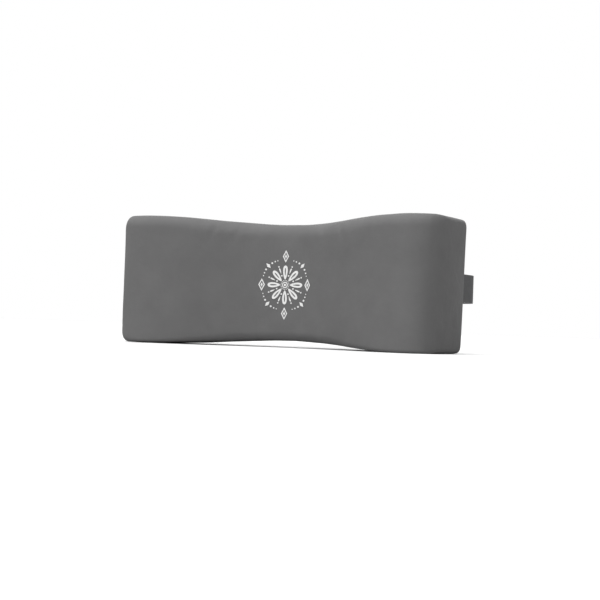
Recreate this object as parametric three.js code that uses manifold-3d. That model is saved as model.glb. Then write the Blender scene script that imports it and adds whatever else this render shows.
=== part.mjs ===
// Car neck pillow: a bone-shaped foam cushion in a grey cover, held to a headrest by a strap.
// Millimetres, +Z up. The origin is the middle of the flat back face, +X runs along the length,
// and the front, where the neck rests, looks along -Y.

import * as THREE from 'three';
import { mergeVertices } from 'three/addons/utils/BufferGeometryUtils.js';
import Module from 'manifold-3d';

const wasm = await Module();
wasm.setup();

// Cushion form
const LENGTH = 300;
const LOBE_HEIGHT = 114;
const WAIST_HEIGHT = 102;
const LOBE_DEPTH = 78;
const WAIST_DEPTH = 38;
const HEIGHT_RISE_START = 6;
const HEIGHT_RISE_END = 124;
const DEPTH_RISE_START = 5.5;
const DEPTH_RISE_END = 130;
const NOSE_LENGTH = 25;
const NOSE_DEPTH = 26;
const NOSE_POWER = 3;
const END_EDGE_RADIUS = 10;
const LOBE_UPPER_RADIUS = 11;
const WAIST_UPPER_RADIUS = 13;
const LOBE_LOWER_RADIUS = 3;
const WAIST_LOWER_RADIUS = 8;
const BACK_EDGE_RADIUS = 4;
const LEAST_EDGE_RADIUS = 1;
const LEAST_BACK_RADIUS = 0.5;
const LEAST_FLAT = 1;
const GREATEST_EDGE_SHARE = 0.8;

// Cover and general fit
const COVER_THICKNESS = 3;
const SEAM_LIP = 5;
const FIT_GAP = 0.3;

// Emblem, pressed on the front
const EMBLEM_THICKNESS = 0.5;
const EMBLEM_DROP = 2.5;
const ROSETTE_RADIUS = 17;
const ROSETTE_WAIST = 8.5;
const ROSETTE_PETALS = 8;
const PETAL_POWER = 0.6;
const LOZENGE_WIDTH = 6;
const LOZENGE_HEIGHT = 11;
const LOZENGE_CLEARANCE = 2.4;

// Zip in the lower part of the back
const ZIP_DROP = 28;
const ZIP_END_MARGIN = 32;
const TAPE_THICKNESS = 0.6;
const TAPE_TUCK = 3;
const PANEL_FACE = 0.6;
const TOOTH_SLOT = 1.1;
const TOOTH_REACH = 1.9;
const TOOTH_ROOT = 0.8;
const TOOTH_PITCH = 3;
const TOOTH_FOOT = 1.9;
const TOOTH_TIP = 1.2;
const TEETH_THICKNESS = 1.4;
const STOP_LENGTH = 2.6;
const STOP_SETBACK = 4;
const STOP_PROUD = 0.4;

// Zip slider and its pull
const SLIDER_LENGTH = 11;
const SLIDER_OVERHANG = 0.7;
const SLIDER_SIDE_CLEARANCE = 1;
const SLIDER_TAPER = 0.9;
const SLIDER_TOP_PLATE = 1;
const SLIDER_BOTTOM_PLATE = 0.6;
const SLIDER_POST_LENGTH = 3;
const CROWN_LENGTH = 8;
const CROWN_LEG = 1.6;
const CROWN_WIDTH = 2;
const CROWN_BRIDGE = 1;
const PULL_THICKNESS = 1;
const PULL_LENGTH = 25;
const PULL_ARM = 1.3;
const PULL_GRIP_WIDTH = 7;
const PULL_GRIP_LENGTH = 12;
const PULL_HOLE_RADIUS = 1.5;
const PULL_CLEARANCE = 0.4;
const PULL_PLAY = 0.5;

// Strap, shaped to the headrest that it goes round
const HEADREST_WIDTH = 266;
const HEADREST_DEPTH = 100;
const HEADREST_CORNER = 40;
const STRAP_WIDTH = 25;
const STRAP_THICKNESS = 1.2;
const PATCH_LENGTH = 30;
const PATCH_MARGIN = 4;
const PATCH_THICKNESS = 1.2;
const PATCH_SETBACK = 3;
const STRAP_END_COVER = 4;

// Ring and slide buckle on the strap's rear run
const RING_X = -38;
const RING_BAR = 2.4;
const RING_CHAMFER = 0.6;
const RING_SPACING = 8;
const RING_CORNER = 3;
const RING_INNER_CORNER = 1;
const RETURN_SLOPE = 16;
const SEWN_RETURN = 16;
const TAIL_LENGTH = 100;
const BUCKLE_X = 20;
const BUCKLE_LENGTH = 22;
const BUCKLE_WALL = 1.6;
const BUCKLE_RAIL = 3;
const BUCKLE_END_BAR = 4;
const BUCKLE_CENTRE_BAR = 5;

// How finely round shapes are cut
const MIDDLE_STATIONS = 24;
const NOSE_STATIONS = 6;
const FRONT_ARC_STEPS = 5;
const BACK_ARC_STEPS = 2;
const ARC_STEPS = 6;
const RING_ARC_STEPS = 3;

const halfLength = LENGTH / 2;

const finishes = {
  cover: new THREE.MeshStandardMaterial({ color: 0x6c6c6d, roughness: 0.62, metalness: 0 }),
  panel: new THREE.MeshStandardMaterial({ color: 0x626263, roughness: 0.7, metalness: 0 }),
  foam: new THREE.MeshStandardMaterial({ color: 0xe8e2cf, roughness: 0.95, metalness: 0 }),
  emblem: new THREE.MeshStandardMaterial({ color: 0xf4f4f2, roughness: 0.5, metalness: 0 }),
  tape: new THREE.MeshStandardMaterial({ color: 0x3c3c3e, roughness: 0.9, metalness: 0 }),
  teeth: new THREE.MeshStandardMaterial({ color: 0x2f3032, roughness: 0.45, metalness: 0.1 }),
  metal: new THREE.MeshStandardMaterial({ color: 0x77787b, roughness: 0.35, metalness: 0.9 }),
  strap: new THREE.MeshStandardMaterial({ color: 0x606062, roughness: 0.8, metalness: 0 }),
  plastic: new THREE.MeshStandardMaterial({ color: 0x2a2b2d, roughness: 0.5, metalness: 0 }),
};

const group = new THREE.Group();

function addPart(name, geometry, material) {
  const mesh = new THREE.Mesh(geometry, material);
  mesh.name = name;
  group.add(mesh);
  return mesh;
}

// Solids for cutting and joining

function toSolid(geometry) {
  const bare = geometry.clone();
  bare.deleteAttribute('normal');
  bare.deleteAttribute('uv');
  const merged = mergeVertices(bare);
  const vertProperties = new Float32Array(merged.attributes.position.array);
  const triVerts = new Uint32Array(merged.index.array);
  return new wasm.Manifold(new wasm.Mesh({ numProp: 3, vertProperties, triVerts }));
}

function toGeometry(solid) {
  const mesh = solid.getMesh();
  const geometry = new THREE.BufferGeometry();
  geometry.setAttribute('position', new THREE.BufferAttribute(mesh.vertProperties, 3));
  geometry.setIndex(new THREE.BufferAttribute(mesh.triVerts, 1));
  geometry.computeVertexNormals();
  return geometry;
}

function boxSolid(low, high) {
  const size = high.map((value, i) => value - low[i]);
  const box = new THREE.BoxGeometry(...size);
  box.translate(low[0] + size[0] / 2, low[1] + size[1] / 2, low[2] + size[2] / 2);
  return toSolid(box);
}

function shapeOf(points) {
  return new THREE.Shape(points.map(([x, y]) => new THREE.Vector2(x, y)));
}

// A flat piece cut from an outline in X and Z, between two places along Y
function plate(shape, yFront, yBack) {
  const options = { depth: yBack - yFront, bevelEnabled: false, curveSegments: ARC_STEPS };
  const geometry = new THREE.ExtrudeGeometry(shape, options);
  geometry.rotateX(Math.PI / 2);
  geometry.translate(0, yBack, 0);
  return geometry;
}

// A rectangle with round corners, in X and Z
function roundRectangle(shape, xLow, xHigh, zLow, zHigh, radius) {
  shape.moveTo(xLow + radius, zLow);
  shape.lineTo(xHigh - radius, zLow);
  shape.absarc(xHigh - radius, zLow + radius, radius, -Math.PI / 2, 0, false);
  shape.lineTo(xHigh, zHigh - radius);
  shape.absarc(xHigh - radius, zHigh - radius, radius, 0, Math.PI / 2, false);
  shape.lineTo(xLow + radius, zHigh);
  shape.absarc(xLow + radius, zHigh - radius, radius, Math.PI / 2, Math.PI, false);
  shape.lineTo(xLow, zLow + radius);
  shape.absarc(xLow + radius, zLow + radius, radius, Math.PI, 1.5 * Math.PI, false);
  return shape;
}

// The cushion's form. Each function takes how far inside the outer face it is wanted.

function ease(t) {
  const clamped = Math.min(Math.max(t, 0), 1);
  return 0.5 - 0.5 * Math.cos(Math.PI * clamped);
}

function halfHeightAt(x, inset) {
  const rise = ease((Math.abs(x) - HEIGHT_RISE_START) / (HEIGHT_RISE_END - HEIGHT_RISE_START));
  const full = WAIST_HEIGHT / 2 + (LOBE_HEIGHT - WAIST_HEIGHT) / 2 * rise - inset;
  const radius = Math.max(END_EDGE_RADIUS - inset, LEAST_EDGE_RADIUS);
  const past = Math.min(Math.max(Math.abs(x) - (halfLength - inset - radius), 0), radius);
  return full - radius + Math.sqrt(radius * radius - past * past);
}

function depthAt(x, inset) {
  const rise = ease((Math.abs(x) - DEPTH_RISE_START) / (DEPTH_RISE_END - DEPTH_RISE_START));
  const full = WAIST_DEPTH + (LOBE_DEPTH - WAIST_DEPTH) * rise - inset;
  const noseLength = NOSE_LENGTH - inset;
  const noseDepth = NOSE_DEPTH - inset;
  const past = Math.min(Math.max((Math.abs(x) - (halfLength - inset - noseLength)) / noseLength, 0), 1);
  return full - noseDepth + noseDepth * Math.pow(1 - Math.pow(past, NOSE_POWER), 1 / NOSE_POWER);
}

function frontRadiusAt(x, inset, waistRadius, lobeRadius) {
  const rise = ease((Math.abs(x) - HEIGHT_RISE_START) / (HEIGHT_RISE_END - HEIGHT_RISE_START));
  const radius = waistRadius + (lobeRadius - waistRadius) * rise - inset;
  return Math.max(radius, LEAST_EDGE_RADIUS);
}

// Places along X where the cushion is cut: even in the middle, closer round each nose
function stations(inset) {
  const end = halfLength - inset;
  const noseStart = end - (NOSE_LENGTH - inset);
  const places = [];
  for (let i = NOSE_STATIONS; i >= 1; i -= 1) {
    places.push(-noseStart - (end - noseStart) * Math.sin(Math.PI / 2 * i / NOSE_STATIONS));
  }
  for (let i = 0; i <= MIDDLE_STATIONS; i += 1) {
    places.push(noseStart * (2 * i / MIDDLE_STATIONS - 1));
  }
  for (let i = 1; i <= NOSE_STATIONS; i += 1) {
    places.push(noseStart + (end - noseStart) * Math.sin(Math.PI / 2 * i / NOSE_STATIONS));
  }
  return places;
}

// One closed section in Y and Z, a rectangle with round corners, largest at the front's upper edge
function section(x, inset, yBack) {
  const halfHeight = halfHeightAt(x, inset);
  const yFront = -depthAt(x, inset);
  const room = Math.min(halfHeight - LEAST_FLAT, (yBack - yFront) * GREATEST_EDGE_SHARE);
  const upperRadius = Math.min(frontRadiusAt(x, inset, WAIST_UPPER_RADIUS, LOBE_UPPER_RADIUS), room);
  const lowerRadius = Math.min(frontRadiusAt(x, inset, WAIST_LOWER_RADIUS, LOBE_LOWER_RADIUS), room);
  const backRadius = Math.max(BACK_EDGE_RADIUS - inset, LEAST_BACK_RADIUS);
  const points = [];
  const corner = (y, z, radius, from, steps) => {
    for (let i = 0; i <= steps; i += 1) {
      const angle = from + Math.PI / 2 * i / steps;
      points.push([y + radius * Math.cos(angle), z + radius * Math.sin(angle)]);
    }
  };
  corner(yBack - backRadius, halfHeight - backRadius, backRadius, 0, BACK_ARC_STEPS);
  corner(yFront + upperRadius, halfHeight - upperRadius, upperRadius, Math.PI / 2, FRONT_ARC_STEPS);
  corner(yFront + lowerRadius, lowerRadius - halfHeight, lowerRadius, Math.PI, FRONT_ARC_STEPS);
  corner(yBack - backRadius, backRadius - halfHeight, backRadius, 1.5 * Math.PI, BACK_ARC_STEPS);
  return points;
}

// The whole cushion form, lofted through its sections and closed by a flat at each end
function cushionForm(inset, yBack) {
  const places = stations(inset);
  const positions = [];
  const triangles = [];
  const rings = places.map((x) => section(x, inset, yBack));
  const count = rings[0].length;
  rings.forEach((ring, i) => ring.forEach(([y, z]) => positions.push(places[i], y, z)));
  for (let i = 0; i < places.length - 1; i += 1) {
    for (let j = 0; j < count; j += 1) {
      const a = i * count + j;
      const b = i * count + (j + 1) % count;
      triangles.push(a, b, a + count);
      triangles.push(b, b + count, a + count);
    }
  }
  const addCap = (ringIndex, turned) => {
    const hub = positions.length / 3;
    const x = places[ringIndex];
    positions.push(x, (yBack - depthAt(x, inset)) / 2, 0);
    for (let j = 0; j < count; j += 1) {
      const a = ringIndex * count + j;
      const b = ringIndex * count + (j + 1) % count;
      triangles.push(hub, turned ? b : a, turned ? a : b);
    }
  };
  addCap(0, true);
  addCap(places.length - 1, false);
  const geometry = new THREE.BufferGeometry();
  geometry.setAttribute('position', new THREE.Float32BufferAttribute(positions, 3));
  geometry.setIndex(triangles);
  geometry.computeVertexNormals();
  return geometry;
}

// Zip sizes that follow from its pieces. Distances are from the zip's middle line.

const zipZ = -ZIP_DROP;
const zipY = -(PANEL_FACE + FIT_GAP + TAPE_THICKNESS / 2);
const toothTip = TOOTH_SLOT / 2;
const toothFoot = toothTip + TOOTH_REACH;
const rowBack = toothFoot + TOOTH_ROOT;
const tapeInner = rowBack + FIT_GAP;
const sliderHalf = tapeInner + SLIDER_OVERHANG;
const windowHalf = sliderHalf + SLIDER_SIDE_CLEARANCE;
const tapeOuter = windowHalf + TAPE_TUCK;
const windowEnd = halfLength - ZIP_END_MARGIN;
const stopOuter = windowEnd - STOP_SETBACK;
const stopInner = stopOuter - STOP_LENGTH;
const teethFront = zipY - TEETH_THICKNESS / 2;
const teethBack = zipY + TEETH_THICKNESS / 2;
const topPlateUnder = teethBack + FIT_GAP;
const topPlateOver = topPlateUnder + SLIDER_TOP_PLATE;
const bottomPlateOver = teethFront - FIT_GAP;
const bottomPlateUnder = bottomPlateOver - SLIDER_BOTTOM_PLATE;
const sliderX = stopInner - FIT_GAP - SLIDER_LENGTH / 2;

// Foam core

function foamCore() {
  const inset = COVER_THICKNESS + FIT_GAP;
  const foamBack = Math.min(-inset, bottomPlateUnder - FIT_GAP);
  return cushionForm(inset, foamBack);
}

// Cover: one wrap over the front, top, bottom and ends, turned in round the back by a narrow lip

function backOutline(inset) {
  const places = stations(inset);
  const upper = places.map((x) => [x, halfHeightAt(x, inset)]);
  const lower = places.map((x) => [x, -halfHeightAt(x, inset)]).reverse();
  return { upper, lower };
}

function coverFront() {
  const outer = toSolid(cushionForm(0, 0));
  const hollow = toSolid(cushionForm(COVER_THICKNESS, -COVER_THICKNESS));
  const { upper, lower } = backOutline(SEAM_LIP);
  const mouth = plate(shapeOf([...lower, ...upper]), -2 * COVER_THICKNESS, COVER_THICKNESS);
  return toGeometry(outer.subtract(hollow).subtract(toSolid(mouth)));
}

// Back panels: an upper and a lower one, which meet at a seam beyond each end of the zip

function backPanel(side) {
  const inset = SEAM_LIP + FIT_GAP;
  const { upper, lower } = backOutline(inset);
  const edge = side > 0 ? upper : lower;
  const seam = zipZ + side * FIT_GAP / 2;
  const window = zipZ + side * windowHalf;
  const end = halfLength - inset;
  const inner = [[end, seam], [windowEnd, seam], [windowEnd, window]];
  inner.push([-windowEnd, window], [-windowEnd, seam], [-end, seam]);
  const outline = side > 0 ? [...edge, ...inner] : [...edge, ...inner.reverse()];
  const panel = toSolid(plate(shapeOf(outline), -COVER_THICKNESS, 0));
  const grooveEdges = [zipZ + side * tapeInner, zipZ + side * (tapeOuter + FIT_GAP)];
  const grooveHalf = TAPE_THICKNESS / 2 + FIT_GAP;
  const groove = boxSolid(
    [-windowEnd, zipY - grooveHalf, Math.min(...grooveEdges)],
    [windowEnd, zipY + grooveHalf, Math.max(...grooveEdges)],
  );
  return toGeometry(panel.subtract(groove));
}

// Emblem: a petalled rosette between four lozenges, bent to the curve of the front

function pressOnFront(shape) {
  const geometry = new THREE.ExtrudeGeometry(shape, { depth: EMBLEM_THICKNESS, bevelEnabled: false });
  geometry.rotateX(Math.PI / 2);
  const position = geometry.attributes.position;
  for (let i = 0; i < position.count; i += 1) {
    const front = -depthAt(position.getX(i), 0) - FIT_GAP;
    position.setY(i, front + position.getY(i));
  }
  geometry.translate(0, 0, -EMBLEM_DROP);
  geometry.computeVertexNormals();
  return geometry;
}

function rosette() {
  const steps = ROSETTE_PETALS * 2 * ARC_STEPS;
  const points = [];
  for (let i = 0; i < steps; i += 1) {
    const angle = 2 * Math.PI * i / steps;
    const swell = Math.pow(Math.abs(Math.cos(ROSETTE_PETALS / 2 * angle)), PETAL_POWER);
    const radius = ROSETTE_WAIST + (ROSETTE_RADIUS - ROSETTE_WAIST) * swell;
    points.push([radius * Math.cos(angle), radius * Math.sin(angle)]);
  }
  return shapeOf(points);
}

function lozenge(x, z) {
  const w = LOZENGE_WIDTH / 2;
  const h = LOZENGE_HEIGHT / 2;
  return shapeOf([[x - w, z], [x, z - h], [x + w, z], [x, z + h]]);
}

// Zip tapes, toothed rows and stops

function zipTape(side) {
  const edges = [zipZ + side * tapeInner, zipZ + side * tapeOuter].sort((a, b) => a - b);
  const end = windowEnd - FIT_GAP;
  const outline = shapeOf([[-end, edges[0]], [end, edges[0]], [end, edges[1]], [-end, edges[1]]]);
  return plate(outline, zipY - TAPE_THICKNESS / 2, zipY + TAPE_THICKNESS / 2);
}

function zipTeeth(side) {
  const end = stopInner - FIT_GAP;
  const count = Math.floor((2 * end - TOOTH_FOOT) / TOOTH_PITCH);
  const start = -count * TOOTH_PITCH / 2;
  const points = [[end, rowBack], [-end, rowBack], [-end, toothFoot]];
  for (let i = 0; i <= count; i += 1) {
    const x = start + i * TOOTH_PITCH;
    points.push([x - TOOTH_FOOT / 2, toothFoot], [x - TOOTH_TIP / 2, toothTip]);
    points.push([x + TOOTH_TIP / 2, toothTip], [x + TOOTH_FOOT / 2, toothFoot]);
  }
  points.push([end, toothFoot]);
  const outline = shapeOf(points.map(([x, z]) => [x, zipZ + side * z]));
  return plate(outline, teethFront, teethBack);
}

function zipStop(xLow, zLow, zHigh) {
  const xHigh = xLow + STOP_LENGTH;
  const outline = shapeOf([[xLow, zLow], [xHigh, zLow], [xHigh, zHigh], [xLow, zHigh]]);
  return plate(outline, teethFront - STOP_PROUD, teethBack + STOP_PROUD);
}

// Zip slider: two plates joined by a thin post that runs between the rows, and a crown for the pull

function sliderPlate(yFront, yBack) {
  const tail = sliderX - SLIDER_LENGTH / 2;
  const nose = sliderX + SLIDER_LENGTH / 2;
  const narrow = sliderHalf - SLIDER_TAPER;
  const outline = shapeOf([
    [tail, zipZ - narrow], [nose - SLIDER_POST_LENGTH, zipZ - sliderHalf], [nose, zipZ - narrow],
    [nose, zipZ + narrow], [nose - SLIDER_POST_LENGTH, zipZ + sliderHalf], [tail, zipZ + narrow],
  ]);
  return toSolid(plate(outline, yFront, yBack));
}

const pullWindowHeight = PULL_THICKNESS + 2 * PULL_PLAY;
const pullY = topPlateOver + pullWindowHeight / 2;

function zipSlider() {
  const top = sliderPlate(topPlateUnder, topPlateOver);
  const bottom = sliderPlate(bottomPlateUnder, bottomPlateOver);
  const nose = sliderX + SLIDER_LENGTH / 2;
  const postHalf = toothTip - FIT_GAP;
  const post = boxSolid(
    [nose - SLIDER_POST_LENGTH, bottomPlateUnder, zipZ - postHalf],
    [nose, topPlateOver, zipZ + postHalf],
  );
  const half = CROWN_LENGTH / 2;
  const crownTop = topPlateOver + pullWindowHeight + CROWN_BRIDGE;
  const crown = boxSolid(
    [sliderX - half, topPlateUnder, zipZ - CROWN_WIDTH / 2],
    [sliderX + half, crownTop, zipZ + CROWN_WIDTH / 2],
  );
  const eye = boxSolid(
    [sliderX - half + CROWN_LEG, topPlateOver, zipZ - CROWN_WIDTH],
    [sliderX + half - CROWN_LEG, topPlateOver + pullWindowHeight, zipZ + CROWN_WIDTH],
  );
  return toGeometry(top.add(bottom).add(post).add(crown.subtract(eye)));
}

// Pull: a flat tab whose end bar lies in the crown's eye and whose arms straddle the crown
function zipPull() {
  const windowHalfWidth = CROWN_WIDTH / 2 + PULL_CLEARANCE;
  const headHalf = windowHalfWidth + PULL_ARM;
  const bar = PULL_THICKNESS / 2;
  const crownReach = Math.hypot(CROWN_LENGTH / 2, pullWindowHeight / 2 + CROWN_BRIDGE);
  const windowLength = crownReach + PULL_CLEARANCE;
  const gripHalf = PULL_GRIP_WIDTH / 2;
  const gripStart = -PULL_LENGTH + PULL_GRIP_LENGTH;
  const outline = new THREE.Shape();
  outline.moveTo(bar, -headHalf);
  outline.lineTo(bar, headHalf);
  outline.lineTo(-windowLength, headHalf);
  outline.lineTo(gripStart, gripHalf);
  outline.lineTo(-PULL_LENGTH + gripHalf, gripHalf);
  outline.absarc(-PULL_LENGTH + gripHalf, 0, gripHalf, Math.PI / 2, 1.5 * Math.PI, false);
  outline.lineTo(gripStart, -gripHalf);
  outline.lineTo(-windowLength, -headHalf);
  outline.closePath();
  const eye = new THREE.Path();
  eye.moveTo(-bar, -windowHalfWidth);
  eye.lineTo(-windowLength, -windowHalfWidth);
  eye.lineTo(-windowLength, windowHalfWidth);
  eye.lineTo(-bar, windowHalfWidth);
  eye.closePath();
  const hole = new THREE.Path();
  hole.absarc(-PULL_LENGTH + gripHalf, 0, PULL_HOLE_RADIUS, 0, 2 * Math.PI, true);
  outline.holes.push(eye, hole);
  const geometry = plate(outline, -PULL_THICKNESS / 2, PULL_THICKNESS / 2);
  geometry.translate(sliderX, pullY, zipZ);
  return geometry;
}

// Strap: a band of even thickness along a line in X and Y, standing on edge

function band(path) {
  const points = path.getPoints(ARC_STEPS);
  const kept = points.filter((p, i) => i === 0 || p.distanceTo(points[i - 1]) > 1e-6);
  const left = [];
  const right = [];
  kept.forEach((p, i) => {
    const before = i > 0 ? p.clone().sub(kept[i - 1]).normalize() : null;
    const after = i < kept.length - 1 ? kept[i + 1].clone().sub(p).normalize() : null;
    const along = (before || after).clone().add(after || before).normalize();
    const stretch = 1 / along.dot(before || after);
    const across = new THREE.Vector2(-along.y, along.x).multiplyScalar(STRAP_THICKNESS / 2 * stretch);
    left.push(p.clone().add(across));
    right.push(p.clone().sub(across));
  });
  const shape = new THREE.Shape([...right, ...left.reverse()]);
  const geometry = new THREE.ExtrudeGeometry(shape, { depth: STRAP_WIDTH, bevelEnabled: false });
  geometry.translate(0, 0, -STRAP_WIDTH / 2);
  return geometry;
}

const strapOnBack = FIT_GAP + STRAP_THICKNESS / 2;
const cornerX = HEADREST_WIDTH / 2 - HEADREST_CORNER;
const bendRadius = HEADREST_CORNER + STRAP_THICKNESS / 2;
const frontBendY = strapOnBack + bendRadius;
const rearBendY = frontBendY + HEADREST_DEPTH - 2 * HEADREST_CORNER;
const rearY = rearBendY + bendRadius;
const patchOuter = cornerX - PATCH_SETBACK;
const patchInner = patchOuter - PATCH_LENGTH;
const barReach = Math.hypot(RING_BAR / 2, RING_BAR / 2 - RING_CHAMFER);
const wrapRadius = barReach + FIT_GAP + STRAP_THICKNESS / 2;
const ringY = rearY + wrapRadius;
const layerStep = STRAP_THICKNESS + FIT_GAP;
const ringBarRight = RING_X + RING_SPACING / 2;
const ringBarLeft = RING_X - RING_SPACING / 2;
const flatStart = ringBarRight + RETURN_SLOPE;

function returnRun(path, fromX, toX, endX) {
  const high = rearY + 2 * wrapRadius;
  const low = rearY + layerStep;
  const middle = (fromX + toX) / 2;
  path.bezierCurveTo(middle, high, middle, low, toX, low);
  path.lineTo(endX, low);
}

function strapRight() {
  const path = new THREE.Path();
  path.moveTo(patchInner + STRAP_END_COVER, strapOnBack);
  path.lineTo(cornerX, strapOnBack);
  path.absarc(cornerX, frontBendY, bendRadius, -Math.PI / 2, 0, false);
  path.absarc(cornerX, rearBendY, bendRadius, 0, Math.PI / 2, false);
  path.lineTo(ringBarRight, rearY);
  path.absarc(ringBarRight, ringY, wrapRadius, -Math.PI / 2, -1.5 * Math.PI, true);
  returnRun(path, ringBarRight, flatStart, ringBarRight + TAIL_LENGTH);
  return band(path);
}

function strapLeft() {
  const path = new THREE.Path();
  path.moveTo(-patchInner - STRAP_END_COVER, strapOnBack);
  path.lineTo(-cornerX, strapOnBack);
  path.absarc(-cornerX, frontBendY, bendRadius, 1.5 * Math.PI, Math.PI, true);
  path.absarc(-cornerX, rearBendY, bendRadius, Math.PI, Math.PI / 2, true);
  path.lineTo(ringBarLeft, rearY);
  path.absarc(ringBarLeft, ringY, wrapRadius, -Math.PI / 2, Math.PI / 2, false);
  returnRun(path, ringBarLeft, ringBarLeft - RETURN_SLOPE, ringBarLeft - RETURN_SLOPE - SEWN_RETURN);
  return band(path);
}

// Patch sewn over each strap end, with a channel for the strap
function anchorPatch(side) {
  const half = STRAP_WIDTH / 2 + PATCH_MARGIN;
  const channelHalf = STRAP_WIDTH / 2 + FIT_GAP;
  const channelTop = FIT_GAP + STRAP_THICKNESS + FIT_GAP;
  const top = channelTop + PATCH_THICKNESS;
  const profile = shapeOf([
    [FIT_GAP, -half], [top, -half], [top, half], [FIT_GAP, half],
    [FIT_GAP, channelHalf], [channelTop, channelHalf], [channelTop, -channelHalf], [FIT_GAP, -channelHalf],
  ]);
  const geometry = new THREE.ExtrudeGeometry(profile, { depth: PATCH_LENGTH, bevelEnabled: false });
  const turn = new THREE.Matrix4();
  turn.makeBasis(new THREE.Vector3(0, 1, 0), new THREE.Vector3(0, 0, 1), new THREE.Vector3(1, 0, 0));
  geometry.applyMatrix4(turn);
  geometry.translate(side > 0 ? patchInner : -patchOuter, 0, 0);
  return geometry;
}

// Ring between the two straps, a rounded rectangle of chamfered bar
function strapRing() {
  const clear = STRAP_WIDTH / 2 + FIT_GAP + RING_CHAMFER;
  const bevel = RING_CHAMFER;
  const outerX = RING_SPACING / 2 + RING_BAR / 2 - bevel;
  const outerZ = clear + RING_BAR - bevel;
  const innerX = RING_SPACING / 2 - RING_BAR / 2 + bevel;
  const innerZ = clear + bevel;
  const outline = roundRectangle(new THREE.Shape(), -outerX, outerX, -outerZ, outerZ, RING_CORNER);
  const inner = roundRectangle(new THREE.Path(), -innerX, innerX, -innerZ, innerZ, RING_INNER_CORNER);
  outline.holes.push(inner);
  const geometry = new THREE.ExtrudeGeometry(outline, {
    depth: RING_BAR - 2 * bevel,
    bevelEnabled: true,
    bevelSize: bevel,
    bevelThickness: bevel,
    bevelSegments: 1,
    curveSegments: RING_ARC_STEPS,
  });
  geometry.rotateX(Math.PI / 2);
  geometry.translate(RING_X, ringY + (RING_BAR - 2 * bevel) / 2, 0);
  return geometry;
}

// Slide buckle round both strap layers: end bars outside them, the centre bar inside
function slideBuckle() {
  const inner = rearY - STRAP_THICKNESS / 2 - FIT_GAP;
  const outer = rearY + layerStep + STRAP_THICKNESS / 2 + FIT_GAP;
  const half = BUCKLE_LENGTH / 2;
  const channelHalf = STRAP_WIDTH / 2 + FIT_GAP;
  const railHalf = channelHalf + BUCKLE_RAIL;
  const beyond = 1;
  const low = BUCKLE_X - half;
  const high = BUCKLE_X + half;
  const outline = roundRectangle(new THREE.Shape(), low, high, -railHalf, railHalf, BUCKLE_RAIL);
  const block = toSolid(plate(outline, inner - BUCKLE_WALL, outer + BUCKLE_WALL));
  const channel = boxSolid([low - beyond, inner, -channelHalf], [high + beyond, outer, channelHalf]);
  const outerWindow = boxSolid(
    [low + BUCKLE_END_BAR, inner, -channelHalf],
    [high - BUCKLE_END_BAR, outer + BUCKLE_WALL + beyond, channelHalf],
  );
  const barHalf = BUCKLE_CENTRE_BAR / 2;
  const innerWindows = [[low - beyond, BUCKLE_X - barHalf], [BUCKLE_X + barHalf, high + beyond]];
  let buckle = block.subtract(channel).subtract(outerWindow);
  innerWindows.forEach(([xLow, xHigh]) => {
    const cut = boxSolid([xLow, inner - BUCKLE_WALL - beyond, -channelHalf], [xHigh, outer, channelHalf]);
    buckle = buckle.subtract(cut);
  });
  return toGeometry(buckle);
}

addPart('foam_core', foamCore(), finishes.foam);
addPart('cover_front', coverFront(), finishes.cover);
addPart('back_panel_upper', backPanel(1), finishes.panel);
addPart('back_panel_lower', backPanel(-1), finishes.panel);

addPart('emblem_rosette', pressOnFront(rosette()), finishes.emblem);
const lozengeX = ROSETTE_RADIUS + LOZENGE_CLEARANCE + LOZENGE_WIDTH / 2;
const lozengeZ = ROSETTE_RADIUS + LOZENGE_CLEARANCE + LOZENGE_HEIGHT / 2;
addPart('emblem_lozenge_top', pressOnFront(lozenge(0, lozengeZ)), finishes.emblem);
addPart('emblem_lozenge_bottom', pressOnFront(lozenge(0, -lozengeZ)), finishes.emblem);
addPart('emblem_lozenge_left', pressOnFront(lozenge(-lozengeX, 0)), finishes.emblem);
addPart('emblem_lozenge_right', pressOnFront(lozenge(lozengeX, 0)), finishes.emblem);

addPart('zip_tape_upper', zipTape(1), finishes.tape);
addPart('zip_tape_lower', zipTape(-1), finishes.tape);
addPart('zip_teeth_upper', zipTeeth(1), finishes.teeth);
addPart('zip_teeth_lower', zipTeeth(-1), finishes.teeth);
addPart('zip_top_stop_upper', zipStop(stopInner, zipZ + toothTip, zipZ + rowBack), finishes.metal);
addPart('zip_top_stop_lower', zipStop(stopInner, zipZ - rowBack, zipZ - toothTip), finishes.metal);
addPart('zip_bottom_stop', zipStop(-stopOuter, zipZ - rowBack, zipZ + rowBack), finishes.metal);
addPart('zip_slider', zipSlider(), finishes.metal);
addPart('zip_pull', zipPull(), finishes.metal);

addPart('strap_left', strapLeft(), finishes.strap);
addPart('strap_right', strapRight(), finishes.strap);
addPart('anchor_patch_left', anchorPatch(-1), finishes.panel);
addPart('anchor_patch_right', anchorPatch(1), finishes.panel);
addPart('strap_ring', strapRing(), finishes.metal);
addPart('slide_buckle', slideBuckle(), finishes.plastic);

export default group;
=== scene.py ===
# %% [markdown]
# # A car neck pillow, dressed for a studio picture
#
# This lesson takes a plain model of a bone-shaped neck pillow, made of closed solids, and dresses
# it: a cover with a fine grain, sewn panels with stitches, woven straps, a zip and an emblem.
#
# Lengths are written in millimetres and turned into metres at the last moment. +X runs along the
# pillow, +Z is up, and the front, where the neck rests, looks along -Y.

import math

import bmesh
import bpy
from mathutils import Matrix, Vector, noise
from mathutils.bvhtree import BVHTree


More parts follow.
